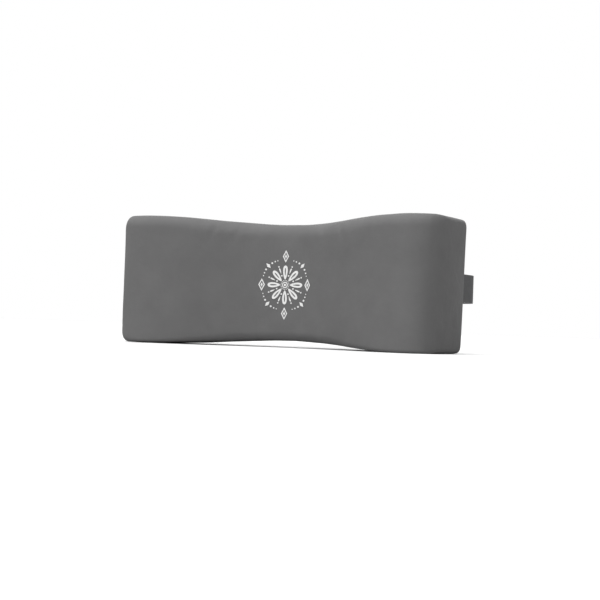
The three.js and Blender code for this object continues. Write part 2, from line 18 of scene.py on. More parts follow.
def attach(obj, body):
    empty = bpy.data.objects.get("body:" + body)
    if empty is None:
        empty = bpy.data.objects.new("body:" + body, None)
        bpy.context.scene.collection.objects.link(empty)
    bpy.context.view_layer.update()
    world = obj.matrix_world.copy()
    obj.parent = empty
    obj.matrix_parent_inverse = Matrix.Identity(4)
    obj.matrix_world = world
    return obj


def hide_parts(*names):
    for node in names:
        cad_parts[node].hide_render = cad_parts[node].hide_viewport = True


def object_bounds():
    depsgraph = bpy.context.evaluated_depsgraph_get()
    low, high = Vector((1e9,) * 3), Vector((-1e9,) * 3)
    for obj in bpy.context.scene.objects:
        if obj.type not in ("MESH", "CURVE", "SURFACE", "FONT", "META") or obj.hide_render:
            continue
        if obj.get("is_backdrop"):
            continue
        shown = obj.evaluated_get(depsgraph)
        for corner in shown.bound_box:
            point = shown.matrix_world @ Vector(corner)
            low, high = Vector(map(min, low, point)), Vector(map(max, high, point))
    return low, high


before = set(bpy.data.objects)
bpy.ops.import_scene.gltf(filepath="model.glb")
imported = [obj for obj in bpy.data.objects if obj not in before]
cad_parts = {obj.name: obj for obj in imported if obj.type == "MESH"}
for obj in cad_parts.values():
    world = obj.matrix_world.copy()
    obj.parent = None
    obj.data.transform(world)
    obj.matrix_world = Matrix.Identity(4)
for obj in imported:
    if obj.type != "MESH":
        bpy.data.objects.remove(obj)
cad_low, cad_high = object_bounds()
MM = 0.001
print("CAD box in mm:", [round(v / MM, 1) for v in (*cad_low, *cad_high)])

# %% [markdown]
# ## The pillow's form
#
# The real cushion is one block of foam with a waist between two lobes. It could be sculpted by
# hand, but then the cover, the foam and the panels would each need that shape again. So small
# functions say how high, how deep and how round it is at each place along its length, and every
# piece reads them. They take how far inside the outer face the form is wanted. A cosine eases the
# waist into the lobes, and each lobe ends in a rounded nose.
#
# Sewn things are never quite even: the left lobe is a little less high, the two noses and the
# corners of the ends differ, and the right end leans out towards its top.

# %% The form, in millimetres
HALF_LENGTH = 150
LOBE_HEIGHT, WAIST_HEIGHT = 114, 102
LOBE_DEPTH, WAIST_DEPTH = 78, 38
HEIGHT_RISE, DEPTH_RISE = (6, 124), (5.5, 130)  # where the waist ends, and where the lobe is full
NOSE_LENGTH = 27
LEFT_NOSE, RIGHT_NOSE = (26, 3.2), (34, 2.5)  # how far it falls back, and the power of its curve
LEFT_END_RADII, RIGHT_END_RADII = (9, 11), (4.5, 4)  # of the upper and the lower corner
LEFT_LOBE_LESS = 1.2
BACK_RADIUS, END_BACK_RADIUS = 4, 1.5
UPPER_RADII, LOWER_RADII = (13, 11), (8, 3)  # of the front's edges, at the waist and at the lobes
LOWER_CORNER_GROWTH = 5.5
LEAST_RADIUS = 1
LEAN_START, LEAN = 120, 2.4
LIP = 5


def clamp(t, low=0.0, high=1.0):
    return min(max(t, low), high)


def ease(t):
    return 0.5 - 0.5 * math.cos(math.pi * clamp(t))


def rise(x, span):
    return ease((abs(x) - span[0]) / (span[1] - span[0]))


def end_radius(x, side):
    upper, lower = RIGHT_END_RADII if x > 0 else LEFT_END_RADII
    return upper if side > 0 else lower


def half_height(x, inset=0.0, side=1):
    """The left lobe is stuffed a little less than the right one."""
    lobe = LOBE_HEIGHT if x > 0 else LOBE_HEIGHT - LEFT_LOBE_LESS
    full = WAIST_HEIGHT / 2 + (lobe - WAIST_HEIGHT) / 2 * rise(x, HEIGHT_RISE) - inset
    radius = max(end_radius(x, side) - inset, LEAST_RADIUS)
    past = clamp(abs(x) - (HALF_LENGTH - inset - radius), 0, radius)
    return full - radius + math.sqrt(radius * radius - past * past)


def depth(x, inset=0.0):
    """The right nose is a little rounder than the left one."""
    full = WAIST_DEPTH + (LOBE_DEPTH - WAIST_DEPTH) * rise(x, DEPTH_RISE) - inset
    nose_depth, power = RIGHT_NOSE if x > 0 else LEFT_NOSE
    length, drop = NOSE_LENGTH - inset, nose_depth - inset
    past = clamp((abs(x) - (HALF_LENGTH - inset - length)) / length)
    return full - drop + drop * (1 - past**power) ** (1 / power)


def front_radius(x, side, inset=0.0):
    """The front's upper edge (side 1) is rounder than its lower edge (side -1)."""
    waist, lobe = UPPER_RADII if side > 0 else LOWER_RADII
    radius = waist + (lobe - waist) * rise(x, HEIGHT_RISE)
    if side < 0 and x < 0:
        radius += LOWER_CORNER_GROWTH * clamp(1 - (HALF_LENGTH - abs(x)) / NOSE_LENGTH) ** 2
    return max(radius - inset, LEAST_RADIUS)


def round_over(d, radius):
    """How far an edge drops at d from it, for a quarter round."""
    return radius - math.sqrt(radius**2 - clamp(radius - d, 0, radius) ** 2)


def lean_end(bm):
    """Leans the right end of a finished mesh out towards its top."""
    for vert in bm.verts:
        past = clamp((vert.co.x / MM - LEAN_START) / (HALF_LENGTH - LEAN_START))
        vert.co.x += LEAN * MM * past * past * (0.5 + vert.co.z / (LOBE_HEIGHT * MM))


print("depth at the waist and the lobe:", depth(0), round(depth(124), 1))

# %% [markdown]
# ## Materials
#
# An image of cloth would be quick, but it blurs close up and repeats. Nodes stay sharp at any
# distance, so every material is made of them. They read the object's own coordinates, or a band's
# UV map, which holds millimetres along and across it. A small class adds the usual nodes: noise
# that mottles the colour, a pattern that raises the surface, and a roughness that varies a little.

# %% Helpers for materials


class Nodes:
    """Short ways to add nodes that end in one shader. Sizes are in millimetres."""

    def __init__(self, tree, shader):
        self.nodes, self.links, self.shader = tree.nodes, tree.links, shader

    def add(self, kind, vector=None, **values):
        node = self.nodes.new(f"ShaderNode{kind}")
        for name, value in values.items():
            node.inputs[name].default_value = value
        if vector is not None:
            self.links.new(vector, node.inputs["Vector"])
        return node

    def drive(self, name, output):
        """Lets a node's output set one of the shader's inputs."""
        self.links.new(output, self.shader.inputs[name])

    def coordinates(self, kind="Object"):
        return self.add("TexCoord").outputs[kind]

    def noise(self, place, size, detail=3.0):
        """Noise whose blobs are about size across."""
        scale = 1 / (size * MM)
        return self.add("TexNoise", place, Scale=scale, Detail=detail, Roughness=0.55).outputs["Fac"]

    def ranged(self, value, low, high, from_low=0.0, from_high=1.0):
        ends = {"From Min": from_low, "From Max": from_high, "To Min": low, "To Max": high}
        node = self.add("MapRange", **ends)
        self.links.new(value, node.inputs["Value"])
        return node.outputs["Result"]

    def mixed(self, factor, first, second):
        node = self.add("Mix")
        node.data_type = "RGBA"
        self.links.new(factor, node.inputs["Factor"])
        node.inputs["A"].default_value = (*first, 1)
        node.inputs["B"].default_value = (*second, 1)
        return node.outputs["Result"]

    def calc(self, operation, first, second=0.0):
        node = self.add("Math")
        node.operation = operation
        for socket, value in zip(node.inputs, (first, second)):
            if isinstance(value, (int, float)):
                socket.default_value = value
            else:
                self.links.new(value, socket)
        return node.outputs["Value"]

    def bump(self, height, distance, under=None):
        """Raises the surface by up to distance, on top of the bump that lies under it."""
        node = self.add("Bump", Distance=distance * MM)
        self.links.new(height, node.inputs["Height"])
        if under is not None:
            self.links.new(under, node.inputs["Normal"])
        self.drive("Normal", node.outputs["Normal"])
        return node.outputs["Normal"]

    def uneven_roughness(self, cloud, low, high):
        self.drive("Roughness", self.ranged(cloud, low, high, 0.3, 0.7))


def new_look(name, color, roughness, metallic=0.0, specular=0.4):
    """A material, and the nodes that end in its shader."""
    material = bpy.data.materials.new(name)
    material.use_nodes = True
    shader = material.node_tree.nodes["Principled BSDF"]
    shader.inputs["Base Color"].default_value = (*color, 1)
    shader.inputs["Roughness"].default_value = roughness
    shader.inputs["Metallic"].default_value = metallic
    shader.inputs["Specular IOR Level"].default_value = specular
    return material, Nodes(material.node_tree, shader)


def shades(color, spread):
    """A darker and a lighter shade of a colour."""
    return [tuple(c * f for c in color) for f in (1 - spread, 1 + spread)]


# %% [markdown]
# The cover and the panels are a matt leather-look cloth. Its grain is a Voronoi pattern of cells
# little more than half a millimetre across, with pores between them and finer noise on top. A plain
# bump of noise would look like plaster, because leather has cells with edges.

# %% Leather-look cloth


def leather(name, color, cell, relief, roughness):
    material, look = new_look(name, color, roughness, specular=0.07)
    place = look.coordinates()
    mottle = look.ranged(look.noise(place, 22, 4.0), 0, 1, 0.3, 0.7)
    look.drive("Base Color", look.mixed(mottle, *shades(color, 0.045)))
    cells = look.add("TexVoronoi", place, Scale=1 / (cell * MM), Randomness=0.9)
    cells.feature = "SMOOTH_F1"
    cells.inputs["Smoothness"].default_value = 0.35
    grain = look.calc("MULTIPLY", cells.outputs["Distance"], -1.0)
    fine = look.calc("MULTIPLY", look.noise(place, cell * 0.45, 2.0), 0.35)
    raised = look.bump(look.calc("ADD", grain, fine), relief)
    look.bump(look.noise(place, 7), 0.22, under=raised)
    look.uneven_roughness(look.noise(place, 4), roughness - 0.05, roughness + 0.06)
    return material


cover_look = leather("cover leather look", (0.1475, 0.147, 0.1475), 0.62, 0.035, 0.64)
panel_look = leather("back panel leather look", (0.128, 0.129, 0.131), 0.8, 0.05, 0.68)
patch_look = leather("patch leather look", (0.140, 0.141, 0.143), 0.62, 0.04, 0.66)
print("leather materials:", cover_look.name, panel_look.name, patch_look.name)

# %% [markdown]
# Straps and zip tapes are woven. Their material reads the UV map, so the weave follows the band
# round each bend. Two waves across each other give ribs and picks, and a little noise keeps the
# threads from being all alike. Thread is twisted, so it gets slanted bands, and foam gets cells.

# %% Woven bands, thread and foam


def woven(name, color, rib, pick, relief, roughness):
    """Ribs run along the band (u), picks cross it (v). The UV map is in millimetres."""
    material, look = new_look(name, color, roughness, specular=0.07)
    split = look.add("SeparateXYZ", look.coordinates("UV"))
    ribs = look.calc("MULTIPLY", split.outputs["Y"], math.pi / rib)
    ribs = look.calc("ABSOLUTE", look.calc("SINE", ribs))
    shift = look.calc("MULTIPLY", look.calc("SNAP", split.outputs["Y"], rib), 0.5 * math.pi / rib)
    picks = look.calc("MULTIPLY", split.outputs["X"], math.pi / pick)
    picks = look.calc("ABSOLUTE", look.calc("SINE", look.calc("ADD", picks, shift)))
    weave = look.calc("MULTIPLY", ribs, picks)
    place = look.coordinates()
    fuzz = look.calc("MULTIPLY", look.noise(place, 0.4, 2.0), 0.3)
    look.bump(look.calc("ADD", weave, fuzz), relief)
    blotch = look.calc("MULTIPLY", look.noise(place, 12), 0.3)
    tone = look.calc("ADD", look.calc("MULTIPLY", weave, 0.7), blotch)
    look.drive("Base Color", look.mixed(tone, *shades(color, 0.16)))
    return material


def thread(name, color):
    material, look = new_look(name, color, 0.55, specular=0.3)
    twist = look.add("TexWave", look.coordinates(), Scale=1 / (1.1 * MM))
    twist.bands_direction = "DIAGONAL"
    look.bump(twist.outputs["Fac"], 0.06)
    look.drive("Base Color", look.mixed(twist.outputs["Fac"], *shades(color, 0.2)))
    return material


def foam_material(name, color):
    material, look = new_look(name, color, 0.92, specular=0.2)
    cells = look.add("TexVoronoi", look.coordinates(), Scale=1 / (0.9 * MM))
    look.bump(cells.outputs["Distance"], 0.25)
    dark, light = shades(color, 0.07)
    look.drive("Base Color", look.mixed(cells.outputs["Distance"], light, dark))
    return material


strap_look = woven("strap elastic webbing", (0.128, 0.129, 0.131), 1.0, 0.62, 0.12, 0.72)
tape_look = woven("zip tape weave", (0.045, 0.045, 0.047), 0.7, 0.5, 0.1, 0.8)
thread_look = thread("sewing thread", (0.20, 0.202, 0.206))
foam_look = foam_material("memory foam", (0.80, 0.76, 0.65))
print("woven materials:", strap_look.name, tape_look.name)

# %% [markdown]
# The ring and the zip's slider, pull and stops are gunmetal, a dark metal with faint brush marks:
# noise that is drawn out along X. The teeth and the buckle are moulded plastic with a fine texture,
# and the emblem is a white film.

# %% Metal, plastic and film


def metal(name, color, roughness):
    material, look = new_look(name, color, roughness, metallic=1.0)
    place = look.coordinates()
    cloud = look.noise(place, 3, 4.0)
    look.uneven_roughness(cloud, roughness - 0.06, roughness + 0.1)
    look.drive("Base Color", look.mixed(cloud, *shades(color, 0.08)))
    stretch = look.add("Mapping", place, Scale=(0.08, 1, 1))
    scratch = look.add("TexNoise", stretch.outputs["Vector"], Scale=1 / (0.2 * MM))
    look.bump(scratch.outputs["Fac"], 0.008)
    return material


def plastic(name, color, roughness, texture):
    material, look = new_look(name, color, roughness, specular=0.45)
    place = look.coordinates()
    look.bump(look.noise(place, texture, 2.0), texture * 0.09)
    cloud = look.noise(place, 5)
    look.uneven_roughness(cloud, roughness - 0.05, roughness + 0.07)
    look.drive("Base Color", look.mixed(cloud, *shades(color, 0.06)))
    return material


metal_look = metal("gunmetal", (0.19, 0.19, 0.20), 0.34)
teeth_look = plastic("moulded teeth", (0.03, 0.03, 0.032), 0.42, 0.2)
buckle_look = plastic("buckle plastic", (0.025, 0.025, 0.027), 0.5, 0.3)
film_look = plastic("white film", (0.80, 0.80, 0.795), 0.5, 0.4)
print("hard materials:", metal_look.name, teeth_look.name, buckle_look.name, film_look.name)

# %% [markdown]
# ## Helpers for pieces
#
# Most soft pieces start as a flat grid. Each of its points is then moved to its place on the form.
# The helper can also keep a UV map in millimetres, for pieces with a weave. Another helper turns
# the finished mesh into an object of the pillow's body, and hides what it replaces.

# %% Helpers for pieces


def mapped_grid(us, vs, place, uv=None):
    """A grid of len(us) by len(vs) points, each moved to place(u, v), which is in millimetres."""
    bm = bmesh.new()
    nu, nv = len(us) - 1, len(vs) - 1
    bmesh.ops.create_grid(bm, x_segments=nu, y_segments=nv, size=0.5)
    spots = {v: (us[round((v.co.x + 0.5) * nu)], vs[round((v.co.y + 0.5) * nv)]) for v in bm.verts}
    if uv:
        layer = bm.loops.layers.uv.new("UVMap")
        for face in bm.faces:
            for loop in face.loops:
                loop[layer].uv = uv(*spots[loop.vert])
    for vert, (u, v) in spots.items():
        vert.co = Vector(place(u, v)) * MM
    return bm


def close_up(bm):
    """Merges the points where a grid meets itself, and turns its faces outwards."""
    bmesh.ops.remove_doubles(bm, verts=bm.verts, dist=1e-6)
    bmesh.ops.recalc_face_normals(bm, faces=bm.faces)


def face_back(bm):
    """Turns the faces of an open sheet to look along +Y."""
    bmesh.ops.recalc_face_normals(bm, faces=bm.faces)
    if sum(f.normal.y * f.calc_area() for f in bm.faces) < 0:
        bmesh.ops.reverse_faces(bm, faces=bm.faces)


def new_object(name, bm, look):
    mesh = bpy.data.meshes.new(name)
    bm.to_mesh(mesh)
    bm.free()
    mesh.materials.append(look)
    obj = bpy.data.objects.new(name, mesh)
    bpy.context.scene.collection.objects.link(obj)
    return obj


def piece(name, bm, look, replaced=(), smooth=True):
    """Turns bm into an object of the scene that rides on the pillow."""
    obj = new_object(name, bm, look)
    obj.data.polygons.foreach_set("use_smooth", [smooth] * len(obj.data.polygons))
    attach(obj, "pillow")
    if replaced:
        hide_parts(*replaced)
    return obj


def add_subsurf(obj):
    modifier = obj.modifiers.new("Subsurf", "SUBSURF")
    modifier.levels = modifier.render_levels = 1


def add_solidify(obj, thickness, offset=-1.0):
    modifier = obj.modifiers.new("Solidify", "SOLIDIFY")
    modifier.thickness = thickness * MM
    modifier.offset = offset
    modifier.use_even_offset = True


def add_bevel(obj, width, segments=2, angle=30):
    modifier = obj.modifiers.new("Bevel", "BEVEL")
    modifier.width = width * MM
    modifier.segments = segments
    modifier.limit_method = "ANGLE"
    modifier.angle_limit = math.radians(angle)


def even(low, high, count):
    """count + 1 places from low to high, evenly spaced."""
    return [low + (high - low) * i / count for i in range(count + 1)]


def soft_noise(x, y, z, size, seed=0.0):
    """Smooth noise between about -1 and 1, with blobs size millimetres across."""
    return noise.noise(Vector((x / size + seed, y / size, z / size)))


# %% [markdown]
# ## The cushion
#
# The cover is a skin over the cushion's form. One function gives a point of its section: a list of
# steps runs from the middle of the back over the top and the front, and along the bottom to the
# back again. Rounding a box with bevels would be less work, but a bevel can't change its radius
# along the way, as the edges of this cushion do.

# %% The section of the cushion
SECTION_STEPS = {"back": 3, "lip": 1, "back arc": 5, "side": 14, "front arc": 10}
FRONT_STEPS = 14
HALF_SECTION = [(kind, t) for kind, count in SECTION_STEPS.items() for t in even(0, 1, count)[:-1]]
HALF_SECTION += [("front", t) for t in even(0, 1, FRONT_STEPS)]
SECTION = [(kind, t, 1) for kind, t in HALF_SECTION]
SECTION += [(kind, t, -1) for kind, t in reversed(HALF_SECTION[:-1])]
SHARPEST = 0.6  # the least radius of the back's edges
LEAST_LIP = 0.2
MOST_OF_DEPTH = 0.8  # how much of the depth the front's edge may take


def section_point(x, kind, t, side, inset=0.0, back=0.0):
    """Y and Z of one point of the section at x, in millimetres."""
    height = half_height(x, inset, side)
    y_front = -depth(x, inset)
    y_back = back - round_over(HALF_LENGTH - inset - abs(x), max(END_BACK_RADIUS - inset, SHARPEST))
    front = front_radius(x, side, inset)
    front = min(front, height - LEAST_RADIUS, (y_back - y_front) * MOST_OF_DEPTH)
    rear = max(BACK_RADIUS - inset, SHARPEST)
    lip = min(half_height(x, inset + LIP, side), height - rear - LEAST_LIP)
    quarter = math.pi / 2 * t
    if kind == "back":
        y, z = y_back, lip * t
    elif kind == "lip":
        y, z = y_back, lip + (height - rear - lip) * t
    elif kind == "back arc":
        y = y_back - rear + rear * math.cos(quarter)
        z = height - rear + rear * math.sin(quarter)
    elif kind == "side":
        y = y_back - rear + (y_front + front - y_back + rear) * t
        z = height
    elif kind == "front arc":
        y = y_front + front - front * math.sin(quarter)
        z = height - front + front * math.cos(quarter)
    else:
        y, z = y_front, (height - front) * (1 - t)
    return y, z * side


print("points round the section:", len(SECTION))

# %% [markdown]
# Along the length, the section stands at even places in the middle and at closer ones round each
# nose. Beyond each end, rings on the end face shrink towards its middle and close it, with a slight
# crown.

# %% The cushion's skin
END_CROWN = 1.2


def skin_point(station, step, inset=0.0, back=0.0):
    """A point of the skin. station is (x, how far the section is drawn in towards its middle)."""
    x, scale = station
    y, z = section_point(x, *SECTION[step], inset, back)
    if scale < 1:
        middle = (back - BACK_RADIUS - depth(x, inset)) / 2
        y, z = middle + (y - middle) * scale, z * scale
        x += math.copysign(END_CROWN * (1 - scale * scale), x)
    return Vector((x, y, z))


def stations(inset, spacing, nose_steps, cap_steps, keep=None):
    """Places along X: even in the middle, closer round each nose, then rings on the end face."""
    end = HALF_LENGTH - inset
    start = HALF_LENGTH - NOSE_LENGTH
    turns = [math.pi / 2 * i / nose_steps for i in range(1, nose_steps + 1)]
    nose = [start + (end - start) * math.sin(turn) for turn in turns]
    if keep:
        nearest = min(range(nose_steps), key=lambda i: abs(nose[i] - keep))
        nose[nearest] = keep
    middle = [(x, 1.0) for x in even(-start, start, round(2 * start / spacing))]
    right = [(x, 1.0) for x in nose] + [(end, s) for s in even(1, 0, cap_steps)[1:]]
    left = [(-x, s) for x, s in reversed(right)]
    return left + middle + right


def cushion(inset, back, spacing, nose_steps, cap_steps, keep=None):
    """The closed skin, inset from the outer face, with its flat back at Y = back."""
    places = stations(inset, spacing, nose_steps, cap_steps, keep)
    steps = list(range(len(SECTION)))
    bm = mapped_grid(places, steps, lambda s, j: skin_point(s, j, inset, back))
    close_up(bm)
    return bm


# %% [markdown]
# The real cover is cut and sewn, and open at the back. Here its skin is cut open over the back,
# inside a narrow lip, and the lip's edge is turned in where it meets the panels. Low, wide
# unevenness and a few short dents where the cloth bunches at the waist are pressed into it along
# its normals. They are few enough to list one by one.

# %% The cover
UNEVEN = [(0.30, 46, 3.1), (0.13, 19, 7.7)]  # height and size of the blobs, and the noise's seed
DENTS = [
    # x, y, z of the middle, slant of its line in degrees, half length, half width, depth
    (-64.0, -57.0, 43.0, 72, 9.0, 2.6, 0.55),
    (-46.0, -48.4, 41.0, 64, 8.0, 2.4, 0.50),
    (-27.0, -37.5, 42.0, 78, 7.0, 2.2, 0.35),
    (59.0, -53.1, 44.6, 110, 8.0, 2.6, 0.50),
    (38.0, -44.0, 42.0, 102, 7.0, 2.2, 0.30),
    (-64.0, -55.6, -45.1, 104, 8.0, 2.6, 0.50),
    (-24.0, -37.3, -44.4, 92, 7.0, 2.4, 0.45),
    (8.0, -33.0, -45.5, 86, 6.0, 2.2, 0.30),
    (36.0, -42.9, -42.3, 74, 8.0, 2.4, 0.45),
    (70.0, -60.0, -44.0, 70, 8.0, 2.6, 0.35),
]
DENT_REACH = 2.5  # in half lengths, past which a dent does nothing
DENT_CURL = 0.03
RIM_HEIGHT, RIM_PLACE = 0.35, 1.9  # the cloth rises beside a dent, in depths and half widths
TURNED_EDGE = [(0.12, 0.12), (0.06, 0.5), (0.0, 0.9), (-0.2, 1.2)]  # inwards and down, by step
HAIR = 0.01


def relief(p):
    """How far the skin lies off the plain form at p, in millimetres, along its normal."""
    height = sum(high * soft_noise(p.x, p.y, p.z, size, seed) for high, size, seed in UNEVEN)
    for x, y, z, slant, length, width, deep in DENTS:
        off = p - Vector((x, y, z))
        if off.length > DENT_REACH * length:
            continue
        across_z = math.copysign(math.hypot(off.y, off.z), off.z)
        c, s = math.cos(math.radians(slant)), math.sin(math.radians(slant))
        along = off.x * c + across_z * s
        across = -off.x * s + across_z * c
        bend = across - DENT_CURL * along * along / width
        fall = math.exp(-((along / length) ** 2))
        height -= deep * fall * math.exp(-((bend / width) ** 2))
        rim = (abs(bend) - RIM_PLACE * width) / width
        height += RIM_HEIGHT * deep * fall * math.exp(-(rim**2))
    return height


def press_relief(bm):
    bm.normal_update()
    moves = [v.normal * relief(v.co / MM) * MM for v in bm.verts]
    for vert, move in zip(bm.verts, moves):
        vert.co += move


def in_mouth(co):
    """Whether a point lies on the flat back, inside the lip."""
    x, y, z = co / MM
    return y > -HAIR and abs(x) < HALF_LENGTH - LIP + HAIR and abs(z) < half_height(x, LIP, z) + HAIR


def turn_in(bm):
    """Extrudes the open edge once for each step of TURNED_EDGE."""
    rim = [e for e in bm.edges if e.is_boundary]
    for inwards, down in TURNED_EDGE:
        made = bmesh.ops.extrude_edge_only(bm, edges=rim)["geom"]
        rim = [e for e in made if isinstance(e, bmesh.types.BMEdge) and e.is_boundary]
        for vert in {v for e in rim for v in e.verts}:
            toward = Vector((-math.copysign(1, vert.co.x), 0, 0))
            if abs(vert.co.x) < (HALF_LENGTH - LIP - 1) * MM:
                toward = Vector((0, 0, -math.copysign(1, vert.co.z)))
            vert.co += (toward * inwards + Vector((0, -down, 0))) * MM


cover_bm = cushion(0.0, 0.0, spacing=2.5, nose_steps=14, cap_steps=8, keep=HALF_LENGTH - LIP)
mouth = [f for f in cover_bm.faces if all(in_mouth(v.co) for v in f.verts)]
print("cover faces:", len(cover_bm.faces), "of which the mouth takes out:", len(mouth))
bmesh.ops.delete(cover_bm, geom=mouth, context="FACES")
press_relief(cover_bm)
turn_in(cover_bm)
bmesh.ops.recalc_face_normals(cover_bm, faces=cover_bm.faces)
lean_end(cover_bm)
cover = piece("cover", cover_bm, cover_look, ["cover_front"])

# %% [markdown]
# Real foam swells a little in its cover. A short cloth simulation with a light pressure does the
# same here: the turned-in edge is pinned, and no point may move further than a small cap. The
# modifier is applied, so only the swollen shape stays.

# %% Swell the cover with a cloth simulation
CAP, PRESSURE, FRAMES = 0.7, 2.0, 16
HELD_DEPTH = 2.5  # the cover is held from the back down to this depth


def swell(obj):
    """Runs the cloth for some frames, and keeps its shape with every move capped."""
    mesh = obj.data
    before = [v.co.copy() for v in mesh.vertices]
    group = obj.vertex_groups.new(name="held")
    for vert in mesh.vertices:
        group.add([vert.index], 1.0 if vert.co.y / MM > -HELD_DEPTH else 0.0, "REPLACE")
    cloth = obj.modifiers.new("Cloth", "CLOTH")
    settings = cloth.settings
    settings.quality = 6
    settings.mass = 0.3
    settings.tension_stiffness = settings.compression_stiffness = 30
    settings.shear_stiffness = 20
    settings.bending_stiffness = 4
    settings.use_pressure = True
    settings.uniform_pressure_force = PRESSURE
    settings.effector_weights.gravity = 0
    settings.vertex_group_mass = "held"
    cloth.point_cache.frame_start, cloth.point_cache.frame_end = 1, FRAMES
    for frame_number in range(1, FRAMES + 1):
        bpy.context.scene.frame_set(frame_number)
    shaped = obj.evaluated_get(bpy.context.evaluated_depsgraph_get()).to_mesh()
    after = [v.co.copy() for v in shaped.vertices]
    obj.evaluated_get(bpy.context.evaluated_depsgraph_get()).to_mesh_clear()
    obj.modifiers.remove(cloth)
    bpy.context.scene.frame_set(1)
    obj.vertex_groups.clear()
    furthest = 0
    for vert, old, new in zip(mesh.vertices, before, after):
        move = new - old
        far = move.length / MM
        furthest = max(furthest, far)
        vert.co = old + move * (CAP / (CAP + far))
    print(obj.name, "swelled by up to", round(furthest, 2), "mm before the cap of", CAP)


swell(cover)
add_subsurf(cover)

# %% [markdown]
# The foam inside is the same form, a little smaller. It only shows if the cover is opened, so it is
# made by the same function with fewer points.

# %% The foam core
FOAM_INSET, FOAM_BACK = 3.3, -3.4
foam_bm = cushion(FOAM_INSET, FOAM_BACK, spacing=8.0, nose_steps=8, cap_steps=4)
lean_end(foam_bm)
foam = piece("foam", foam_bm, foam_look, ["foam_core"])
print("foam faces:", len(foam.data.polygons))

# %% [markdown]
# ## The back
#
# The back has an upper and a lower panel with a zip between them. Both are grids whose points
# crowd towards the edges, where the cloth is folded under, so the edges look rolled. Beyond each
# end of the zip the panels meet at a plain seam. A thread pulls the cloth in along each seam, so a
# shallow groove runs under every row of stitches.

# %% Back panels
ZIP_Z = -28.0
WINDOW_HALF, WINDOW_END = 5.25, 118.0
WINDOW_PAST, WINDOW_TURN = 1.5, 3.5  # how far past its end the gap closes, and over what length
SEAM_GAP = 0.15
PANEL_INSET = 5.3
PANEL_END = HALF_LENGTH - PANEL_INSET
PANEL_THICKNESS = 0.55
PANEL_DOWN, PANEL_PUFF, PUFF_SIZE = 0.10, 0.10, 30
DEEPEST = -2.4
FOLD_RADIUS, ZIP_FOLD_RADIUS, SEAM_FOLD_RADIUS = 1.3, 0.75, 1.0
SEAM_IN, ZIP_SEAM_IN = 2.4, 1.9
EDGE_STEPS = [0, 0.15, 0.4, 0.8, 1.3, 2.0, 3.2, 5.0]


def opening(x):
    """Half the height of the gap between the panels at x."""
    closed = (WINDOW_END + WINDOW_PAST - abs(x)) / WINDOW_TURN
    return SEAM_GAP + (WINDOW_HALF - SEAM_GAP) * ease(closed)


def groove(d, seam, deep, spread):
    """How far the thread of a seam pulls the cloth in, at d from the edge."""
    return deep * math.exp(-((d - seam) ** 2) / spread)


def panel_edges(x, side):
    far = side * half_height(x, PANEL_INSET, side)
    near = ZIP_Z + side * opening(x)
    return near, far


def panel_point(x, step, side):
    """step says from which edge its distance is counted, or how far through the middle it is."""
    near, far = panel_edges(x, side)
    kind, t = step
    height = abs(far - near)
    inner = EDGE_STEPS[-1]
    d = t if kind == "near" else height - t if kind == "far" else inner + (height - 2 * inner) * t
    z = near + math.copysign(d, far - near)
    end = PANEL_END - abs(x)
    near_fold = ZIP_FOLD_RADIUS if abs(x) < WINDOW_END + 3 else SEAM_FOLD_RADIUS
    y = -round_over(d, near_fold) - round_over(height - d, FOLD_RADIUS) - round_over(end, FOLD_RADIUS)
    y -= PANEL_DOWN + PANEL_PUFF * soft_noise(x, 0, z, PUFF_SIZE, 11.0)
    y -= groove(min(height - d, end), SEAM_IN, 0.12, 0.5)
    y -= groove(d, ZIP_SEAM_IN, 0.10, 0.4)
    return x, max(y, DEEPEST), z


def panel_places():
    """Places along X that crowd at the folded ends and where the zip's window closes."""
    edge = [PANEL_END - d for d in EDGE_STEPS]
    turn = even(WINDOW_END - 4, WINDOW_END + 4, 8)
    half = sorted(set(edge + turn + even(0, WINDOW_END - 8, 32) + even(WINDOW_END + 7, 136, 4)))
    return [-x for x in reversed(half[1:])] + half


def back_panel(name, side, rows, node):
    steps = [("near", d) for d in EDGE_STEPS] + [("mid", t) for t in even(0, 1, rows)[1:-1]]
    steps += [("far", d) for d in reversed(EDGE_STEPS)]
    bm = mapped_grid(panel_places(), steps, lambda x, s: panel_point(x, s, side))
    face_back(bm)
    lean_end(bm)
    obj = piece(name, bm, panel_look, [node])
    add_solidify(obj, PANEL_THICKNESS)
    add_subsurf(obj)
    return obj


panel_upper = back_panel("panel_upper", 1, 20, "back_panel_upper")
panel_lower = back_panel("panel_lower", -1, 4, "back_panel_lower")
print("panels:", len(panel_upper.data.polygons), len(panel_lower.data.polygons), "faces")

# %% [markdown]
# ## The zip
#
# Two woven tapes carry the teeth and go under the panels. A strip of lining behind them keeps the
# foam off the teeth. The hard pieces come from the frame, because their shapes are already right:
# their edges are rounded with a bevel, and they get the metal and plastic materials.

# %% Tapes and hard pieces of the zip
ZIP_Y = -1.2
TAPE_INNER, TAPE_OUTER, TAPE_THICKNESS = 3.55, 8.25, 0.56
LINING_Y, LINING_HALF, LINING_THICKNESS = -3.05, 9, 0.2


def strip(name, x_end, z_low, z_high, y, thickness, replaced=()):
    xs, zs = even(-x_end, x_end, 60), even(z_low, z_high, 6)
    bm = mapped_grid(xs, zs, lambda x, z: (x, y, z), uv=lambda x, z: (x, z))
    obj = piece(name, bm, tape_look, replaced)
    add_solidify(obj, thickness, offset=0.0)
    add_bevel(obj, thickness * 0.3, 2, 60)


for side, word in ((1, "upper"), (-1, "lower")):
    low, high = sorted((ZIP_Z + side * TAPE_INNER, ZIP_Z + side * TAPE_OUTER))
    strip(f"tape_{word}", WINDOW_END - 0.3, low, high, ZIP_Y, TAPE_THICKNESS, [f"zip_tape_{word}"])
low, high = ZIP_Z - LINING_HALF, ZIP_Z + LINING_HALF
strip("zip_lining", WINDOW_END + 2.5, low, high, LINING_Y, LINING_THICKNESS)


